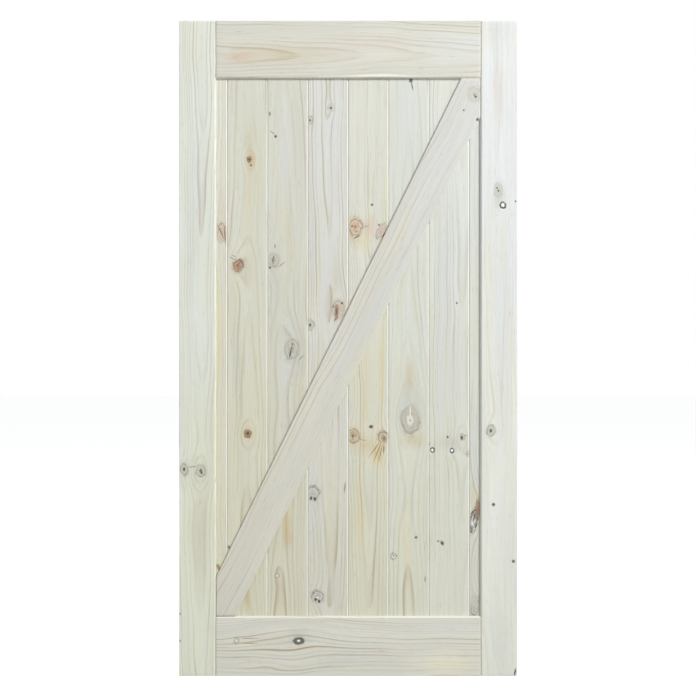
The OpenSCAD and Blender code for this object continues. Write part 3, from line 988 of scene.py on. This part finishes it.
@node_group("Growth Rings", {
    "Grain": ORIGIN, "Pith": ORIGIN, "Lean": ORIGIN, "Ring": 0.006, "Waviness": 0.0016,
    "Tree": ORIGIN}, {"Late": "Float", "Age": "Float"})
def growth_rings(g, given):
    """Growth rings round a leaning pith, read from the wood's own grain coordinates."""
    own = g.vector("ADD", given["Grain"], given["Tree"])
    rise = g.split(given["Grain"])["Y"]
    lean = g.vector("MULTIPLY", given["Lean"], g.join(rise, rise, rise))
    axis = g.vector("ADD", given["Pith"], lean)
    from_pith = g.stretch(g.vector("SUBTRACT", given["Grain"], axis), 1, 0, 1)
    radius = g.vector("LENGTH", from_pith)
    wave = g.minus(g.noise(g.stretch(own, 30, 3.6, 30), 1, 3), 0.5)
    radius = g.times_plus(g.times(wave, given["Waviness"]), 2.0, radius)
    years = g.math("DIVIDE", radius, given["Ring"])
    counted = g.vector("ADD", g.join(years, given["Ring"]), given["Tree"])
    years = g.math("ADD", years, g.noise(counted, 0.55, 1))
    part = g.math("FRACT", years)
    late = g.times(g.step(0.5, 0.92, part), g.step(0.94, 1.0, part, 1.0, 0.0))
    vigour = g.node("ShaderNodeTexWhiteNoise", {"W": g.math("FLOOR", years)},
                    noise_dimensions="1D").outputs["Value"]
    patch = g.noise(g.stretch(own, 22, 1.8, 22), 1, 2)
    strength = g.times(g.math("POWER", vigour, 1.6), g.step(0.32, 0.66, patch, 0.25, 1.3))
    slope = g.math("DIVIDE", g.math("ABSOLUTE", g.split(from_pith)["X"]), radius)
    strength = g.times(strength, g.step(0.0, 0.3, slope, 0.35, 1.1))
    return g.times(late, strength), vigour


@node_group("Pine Fibre", {"Grain": ORIGIN}, {"Streak": "Float", "Canal": "Float"})
def pine_fibre(g, given):
    """Fine streaks and short resin canals along the grain."""
    streak = g.noise(g.stretch(given["Grain"], 210, 3.0, 210), 1, 3, 0.6)
    canal = g.noise(g.stretch(given["Grain"], 620, 22, 620), 1, 1)
    return g.step(0.3, 0.7, streak), g.step(0.66, 0.74, canal)


@node_group("Stain Patch", {
    "Color": WHITE, "Grain": ORIGIN, "Centre": ORIGIN, "Size": (1, 1, 1), "Tint": WHITE,
    "Strength": 0.5}, {"Color": "Color"})
def stain_patch(g, given):
    """A soft-edged patch of tinted wood, longer along the grain."""
    off = g.vector("DIVIDE", g.vector("SUBTRACT", given["Grain"], given["Centre"]), given["Size"])
    d = g.vector("LENGTH", g.stretch(off, 1, 1, 0))
    ragged = g.noise(g.stretch(given["Grain"], 70, 9, 70), 1, 2)
    d = g.times_plus(ragged, 0.7, g.minus(d, 0.35))
    part = g.times(g.step(1.35, -0.1, d), given["Strength"])
    return [g.mix(part, given["Color"], given["Tint"])]


def layer_inputs(kind):
    """The knot group's inputs for a kind's layers."""
    inputs = {}
    for (name, measure), (red, green, blue, strength, *size) in zip(LAYERS, kind):
        inputs[name] = linear(red, green, blue)
        inputs[name + " Share"] = strength
        if measure:
            inputs[name + " " + measure] = size[0]
    return inputs


@node_group("Knot", {
    "Color": WHITE, "Height": 0, "Place": ORIGIN, "Centre": ORIGIN, "Size": (1, 1, 1),
    "Turn": 0, "Heavy": 0, "Check": 0.3, **layer_inputs(KINDS["grey"]),
}, {"Color": "Color", "Height": "Float"})
def knot_figure(g, given):
    """One knot: its halo, body, heart, dark rim and check, laid over the wood's colour."""
    flat = g.stretch(g.vector("SUBTRACT", given["Place"], given["Centre"]), 1, 1, 0)
    turned = g.node("ShaderNodeVectorRotate", {"Vector": flat, "Angle": given["Turn"]},
                    rotation_type="Z_AXIS").outputs[0]
    off = g.vector("DIVIDE", turned, given["Size"])
    over = g.split(off)
    spot = g.vector("ADD", off, g.stretch(given["Centre"], 97, 97, 0))
    swell = g.minus(g.noise(spot, 1.1, 1), 0.5)
    rough = g.minus(g.noise(spot, 3.6, 2), 0.5)
    breaks = g.noise(spot, 2.1, 1)
    r = g.vector("LENGTH", off)
    d = g.times_plus(swell, 0.8, g.times_plus(rough, 0.32, r))
    side = g.times_plus(g.times(over["Y"], given["Heavy"]), 0.6, 0.75)
    side = g.node("ShaderNodeClamp", {"Value": side}).outputs[0]

    def lay(color, part, layer):
        return g.mix(g.times(part, given[layer + " Share"]), color, given[layer])

    halo = g.math("POWER", g.step(given["Halo Reach"], 0.85, d), 1.5)
    color = lay(given["Color"], halo, "Halo")
    color = lay(color, g.step(1.06, 0.78, d), "Body")
    wave = g.times_plus(g.math("SINE", g.times(d, 17.0)), 0.5, 0.5)
    lines = g.times(g.math("POWER", wave, 2.5), g.step(1.35, 1.0, d))
    lines = g.times(lines, g.times(g.step(0.36, 0.56, breaks), side))
    color = lay(color, lines, "Lines")
    inner = g.minus(0.98, given["Rim Width"])
    rim = g.times(g.step(g.minus(inner, 0.12), inner, d), g.step(1.12, 0.98, d))
    rim = g.times(rim, g.times(g.step(0.66, 0.46, breaks, 0.3, 1.0), side))
    color = lay(color, rim, "Rim")
    heart = g.times_plus(rough, 1.1, g.math("DIVIDE", r, given["Heart Size"]))
    color = lay(color, g.step(1.05, 0.7, heart), "Heart")
    slit = g.math("ADD", over["X"], g.times_plus(swell, 1.3, g.times(rough, 0.7)))
    slit = g.times(g.step(0.13, 0.02, g.math("ABSOLUTE", slit)),
                   g.step(0.85, 0.4, g.math("ABSOLUTE", over["Y"])))
    slit = g.times(slit, given["Check"])
    # The check's dark colour is painted shade inside the crack.
    color = g.mix(slit, color, linear(64, 54, 44))
    sunk = g.times_plus(rim, -1.6, g.times(slit, -3.0))
    return color, g.math("ADD", given["Height"], sunk)


@node_group("Sawn End", {"Normal": (0, 0, 1), "Along": (0, 0, 1)}, {"End": "Float"})
def sawn_end(g, given):
    """How much a surface faces along the grain, where the saw has cut across the fibres."""
    facing = g.vector("DOT_PRODUCT", given["Normal"], given["Along"])
    return [g.step(0.88, 0.98, g.math("ABSOLUTE", facing))]


@node_group("Tone Drift", {"Grain": ORIGIN, "Rise": 0.5, "Amount": 0.06},
            {"Shade": "Color", "Film": "Float"})
def tone_drift(g, given):
    """Slow changes of tone over a board: cooler and warmer patches, and warmer low on the door,
    cooler high up.
    """
    slow = g.noise(g.stretch(given["Grain"], 18, 1.7, 18), 1, 3, 0.6)
    hue = g.noise(g.stretch(given["Grain"], 26, 2.6, 40), 1, 2, 0.5)
    hue = g.times_plus(given["Rise"], 0.45, g.minus(hue, 0.22))
    tint = g.mix(g.step(0.3, 0.72, hue), (1.0, 0.985, 0.925, 1), (0.985, 0.99, 1.02, 1))
    shade = g.times_plus(g.minus(slow, 0.5), given["Amount"], 1.0)
    grey = g.node("ShaderNodeCombineColor", {0: shade, 1: shade, 2: shade}).outputs[0]
    return g.multiply(1.0, grey, tint), slow


def new_material(name):
    material = bpy.data.materials.new(name)
    material.use_nodes = True
    return material, Graph(material.node_tree), material.node_tree.nodes["Principled BSDF"]


def pine(board):
    """Bare pine for one board, with that board's own growth, stains and knots."""
    finish = bpy.context.scene.barn_door_finish
    look = LOOKS[board.node]
    growth = look.growth
    early = linear(*look.early)
    material, g, shader = new_material("Pine " + board.node.replace("_", " "))
    grain = g.node("ShaderNodeAttribute", attribute_name="grain").outputs["Vector"]
    arris = g.node("ShaderNodeAttribute", attribute_name="arris").outputs["Fac"]
    coordinates = g.node("ShaderNodeTexCoord").outputs
    into = board.place.inverted()
    place = g.node("ShaderNodeMapping", {
        "Vector": coordinates["Object"], "Location": into.to_translation(),
        "Rotation": into.to_euler()}).outputs[0]
    tree = (0, own_number(board.node) % 89 * 0.73, 0)   # keeps each board's figure its own
    own = g.vector("ADD", grain, tree)
    rings = g.use(growth_rings, {
        "Grain": grain, "Tree": tree, "Ring": growth.ring * MM,
        "Pith": (growth.across * MM, 0, growth.deep * MM),
        "Lean": (growth.lean_across * MM, 0, growth.lean_deep * MM)})
    fibre = g.use(pine_fibre, {"Grain": own})
    rise = g.step(0.0, CAD_HIGH.z, g.split(coordinates["Object"])["Z"])
    drift = g.use(tone_drift, {"Grain": own, "Rise": rise, "Amount": 0.18})
    color = early
    for values in look.stains:
        stain = Stain(*values)
        at = into @ Vector((stain.x * MM, 0, stain.z * MM))
        color = g.use(stain_patch, {
            "Color": color, "Grain": grain, "Centre": (at.x, at.y, 0),
            "Size": (stain.across * MM / 2, stain.along * MM / 2, 1),
            "Tint": linear(*TINTS[stain.tint]), "Strength": stain.strength})["Color"]
    along = board.place.to_3x3() @ Vector((0, 1, 0))
    end = g.use(sawn_end, {"Normal": coordinates["Normal"], "Along": along})["End"]
    end = g.times(end, g.minus(1.0, arris))
    figure = g.times_plus(end, 1.2, growth.figure)
    late = g.times(g.times(rings["Late"], finish.ring_contrast), figure)
    summer = g.mix(rings["Age"], scaled(finish.latewood, early), scaled(finish.heartwood, early))
    color = g.multiply(late, color, summer)
    color = g.multiply(g.times(fibre["Streak"], finish.streaks), color, linear(238, 233, 222))
    color = g.multiply(g.times(fibre["Canal"], 0.5), color, linear(214, 202, 180))
    color = g.multiply(1.0, color, drift["Shade"])
    height = g.times_plus(rings["Late"], 0.6, g.times(fibre["Streak"], 0.4))
    for kind, at_a, at_l, half_a, half_l, turn, heavy in local_knots(board):
        if kind.halo:
            knot = g.use(knot_figure, {
                "Color": color, "Height": height, "Place": place, "Centre": (at_a, at_l, 0),
                "Size": (half_a, half_l, 1), "Turn": turn, "Heavy": heavy, "Check": kind.check,
                **layer_inputs(kind)})
            color = knot["Color"]
            height = knot["Height"]
    color = g.multiply(end, color, scaled(finish.end_grain, early))
    # Lightening the edges is partly their paler wood and partly a painted highlight.
    pale = finish.vee_pale_and_highlight if board.slot == "plank_pine" else finish.arris_pale_and_highlight
    color = g.mix(g.times(arris, pale), color, linear(250, 249, 242))
    g.put(shader.inputs["Base Color"], color)
    rough = g.times_plus(rings["Late"], -0.10, finish.roughness)
    rough = g.times_plus(drift["Film"], 0.08, rough)
    g.put(shader.inputs["Roughness"], g.times_plus(end, 0.2, rough))
    g.bump(shader, 1.0, finish.grain_relief, height)
    return material


def scaled(color, base):
    """color as a share of base, so that multiplying base by it gives color."""
    return tuple(min(1, c / b) for c, b in zip(color[:3], base[:3])) + (1.0,)


# ---------------------------------------------------------------- operators

class BARNDOOR_OT_stiles(bpy.types.Operator):
    """Model the two stiles, grooved on their inner edges"""
    bl_idname = "barndoor.stiles"
    bl_label = "Stiles"

    def execute(self, context):
        make_board(stile("stile_left", -1))
        make_board(stile("stile_right", 1))
        return {"FINISHED"}


class BARNDOOR_OT_rails(bpy.types.Operator):
    """Model the two rails, with stub tenons in the stiles' grooves"""
    bl_idname = "barndoor.rails"
    bl_label = "Rails"

    def execute(self, context):
        make_board(rail("rail_top", 1))
        make_board(rail("rail_bottom", -1))
        return {"FINISHED"}


class BARNDOOR_OT_planks(bpy.types.Operator):
    """Model the tongued-and-grooved planks, with their vees and screw holes"""
    bl_idname = "barndoor.planks"
    bl_label = "Planks"

    def execute(self, context):
        for node in PLANK_NODES:
            make_board(plank(node))
        return {"FINISHED"}


class BARNDOOR_OT_brace(bpy.types.Operator):
    """Model the diagonal brace, cut to the corners of the frame"""
    bl_idname = "barndoor.brace"
    bl_label = "Brace"

    def execute(self, context):
        make_board(brace_board())
        return {"FINISHED"}


class BARNDOOR_OT_screws(bpy.types.Operator):
    """Give the screws their zinc plating"""
    bl_idname = "barndoor.screws"
    bl_label = "Screws"

    def execute(self, context):
        material, g, shader = new_material("Zinc plate")
        place = g.object_place()
        mottle = g.noise(place, 900, 2)
        dull = g.step(0.35, 0.7, g.noise(place, 260, 3))
        zinc = context.scene.barn_door_finish.zinc[:]
        g.put(shader.inputs["Base Color"], g.mix(dull, zinc, linear(196, 182, 138)))
        shader.inputs["Metallic"].default_value = 1
        g.put(shader.inputs["Roughness"], g.times_plus(mottle, 0.25, 0.24))
        g.bump(shader, 0.6, 0.03 * MM, mottle)
        set_material("brace_screws", material)
        return {"FINISHED"}


class BARNDOOR_OT_dowels(bpy.types.Operator):
    """Give the dowels their beech grain"""
    bl_idname = "barndoor.dowels"
    bl_label = "Dowels"

    def execute(self, context):
        material, g, shader = new_material("Beech dowel")
        place = g.object_place()
        streak = g.noise(g.stretch(place, 14, 900, 900), 1, 3)
        fleck = g.noise(g.stretch(place, 160, 1800, 1800), 1, 1)
        beech = context.scene.barn_door_finish.beech[:]
        color = g.mix(g.step(0.3, 0.7, streak), beech, linear(198, 162, 120))
        color = g.multiply(g.step(0.62, 0.72, fleck), color, linear(206, 178, 148))
        g.put(shader.inputs["Base Color"], color)
        g.put(shader.inputs["Roughness"], g.times_plus(streak, 0.2, 0.45))
        g.bump(shader, 0.5, 0.05 * MM, streak)
        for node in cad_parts:
            if node.startswith("dowel_"):
                set_material(node, material)
        return {"FINISHED"}


def set_material(node, material):
    """Puts a finish on a CAD node that keeps its own shape."""
    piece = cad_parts[node]
    if not piece.material_slots:
        piece.data.materials.append(material)
    for slot in piece.material_slots:
        slot.material = material


class BARNDOOR_OT_stage(bpy.types.Operator):
    """Set out the pale floor, the soft lamps and the camera"""
    bl_idname = "barndoor.stage"
    bl_label = "Stage"

    def execute(self, context):
        studio = context.scene.barn_door_studio
        make_floor(studio)
        make_sky(studio)
        middle = Vector((0, 0, (CAD_LOW.z + CAD_HIGH.z) / 2))
        soft_lamp("Key", middle, (4.5, -5.0, 5.0), 2.1, studio.key)
        soft_lamp("Fill", middle, (-4.2, -5.0, 0.6), 4.0, studio.fill)
        soft_lamp("Back", middle, (-3.4, 5.6, 3.4), 3.0, studio.back)
        make_camera(studio)
        return {"FINISHED"}


def make_floor(studio):
    bm = bmesh.new()
    bmesh.ops.create_grid(bm, x_segments=1, y_segments=1, size=FLOOR_HALF)
    mesh = bpy.data.meshes.new("floor")
    bm.to_mesh(mesh)
    bm.free()
    material, g, shader = new_material("Studio floor")
    grit = g.noise(g.object_place(), 4, 2)
    g.put(shader.inputs["Roughness"], g.times_plus(grit, 0.1, 0.8))
    shader.inputs["Base Color"].default_value = studio.floor
    shader.inputs["Emission Color"].default_value = WHITE
    seen = g.node("ShaderNodeLightPath").outputs["Is Camera Ray"]
    g.put(shader.inputs["Emission Strength"], g.times(seen, studio.floor_glow))
    mesh.materials.append(material)
    floor = add_object("floor", mesh)


def make_sky(studio):
    """A white background for the camera, and a softer white that lights the door."""
    world = bpy.data.worlds.new("Studio")
    world.use_nodes = True
    bpy.context.scene.world = world
    g = Graph(world.node_tree)
    ground = world.node_tree.nodes["Background"]
    ground.inputs["Color"].default_value = (0.96, 0.98, 1.0, 1)
    ground.inputs["Strength"].default_value = studio.sky
    seen = g.node("ShaderNodeBackground", {"Color": WHITE, "Strength": 1.0})
    mix = g.node("ShaderNodeMixShader", {
        0: g.node("ShaderNodeLightPath").outputs["Is Camera Ray"],
        1: ground.outputs[0], 2: seen.outputs[0]})
    g.put(world.node_tree.nodes["World Output"].inputs["Surface"], mix.outputs[0])


def soft_lamp(name, target, offset, size, energy):
    lamp = bpy.data.lights.new(name, "AREA")
    lamp.shape = "SQUARE"
    lamp.size = size
    lamp.energy = energy
    holder = add_object(name, lamp)
    holder.location = target + Vector(offset)
    holder.rotation_euler = (-Vector(offset)).to_track_quat("-Z", "Y").to_euler()


def make_camera(studio):
    """Square on to the door's face, level with its middle."""
    camera = bpy.data.cameras.new("Camera")
    camera.lens = studio.lens
    camera.clip_end = CAMERA_RANGE
    away = studio.field * studio.lens / camera.sensor_width
    holder = add_object("Camera", camera)
    holder.location = (CAMERA_X, CAD_LOW.y - away, (CAD_LOW.z + CAD_HIGH.z) / 2 + CAMERA_RISE)
    holder.rotation_euler = (math.pi / 2, 0, 0)
    bpy.context.scene.camera = holder
    bpy.context.scene.view_settings.view_transform = "Standard"


class BARNDOOR_PT_sidebar(bpy.types.Panel):
    """Lists the steps that build the door, and their sizes and colours"""
    bl_label = "Barn Door"
    bl_idname = "BARNDOOR_PT_sidebar"
    bl_space_type = "VIEW_3D"
    bl_region_type = "UI"
    bl_category = "Barn Door"

    def draw(self, context):
        layout = self.layout
        for operator in STEPS:
            layout.operator(operator.bl_idname)
        for name in GROUPS:
            owner = getattr(context.scene, name)
            box = layout.box()
            for key in owner.bl_rna.properties.keys():
                if key not in ("rna_type", "name"):
                    box.prop(owner, key)


GROUPS = {"barn_door_boards": BARNDOOR_PG_boards, "barn_door_finish": BARNDOOR_PG_finish,
          "barn_door_studio": BARNDOOR_PG_studio}
STEPS = (BARNDOOR_OT_stiles, BARNDOOR_OT_rails, BARNDOOR_OT_planks, BARNDOOR_OT_brace,
         BARNDOOR_OT_screws, BARNDOOR_OT_dowels, BARNDOOR_OT_stage)
CLASSES = (*GROUPS.values(), *STEPS, BARNDOOR_PT_sidebar)


def register():
    for cls in CLASSES:
        bpy.utils.register_class(cls)
    for name, group in GROUPS.items():
        setattr(bpy.types.Scene, name, PointerProperty(type=group))


def unregister():
    for name in GROUPS:
        delattr(bpy.types.Scene, name)
    for cls in reversed(CLASSES):
        bpy.utils.unregister_class(cls)


def main():
    register()
    bpy.ops.barndoor.stiles()
    bpy.ops.barndoor.rails()
    bpy.ops.barndoor.planks()
    bpy.ops.barndoor.brace()
    bpy.ops.barndoor.screws()
    bpy.ops.barndoor.dowels()
    bpy.ops.barndoor.stage()


if __name__ == "__main__":
    main()
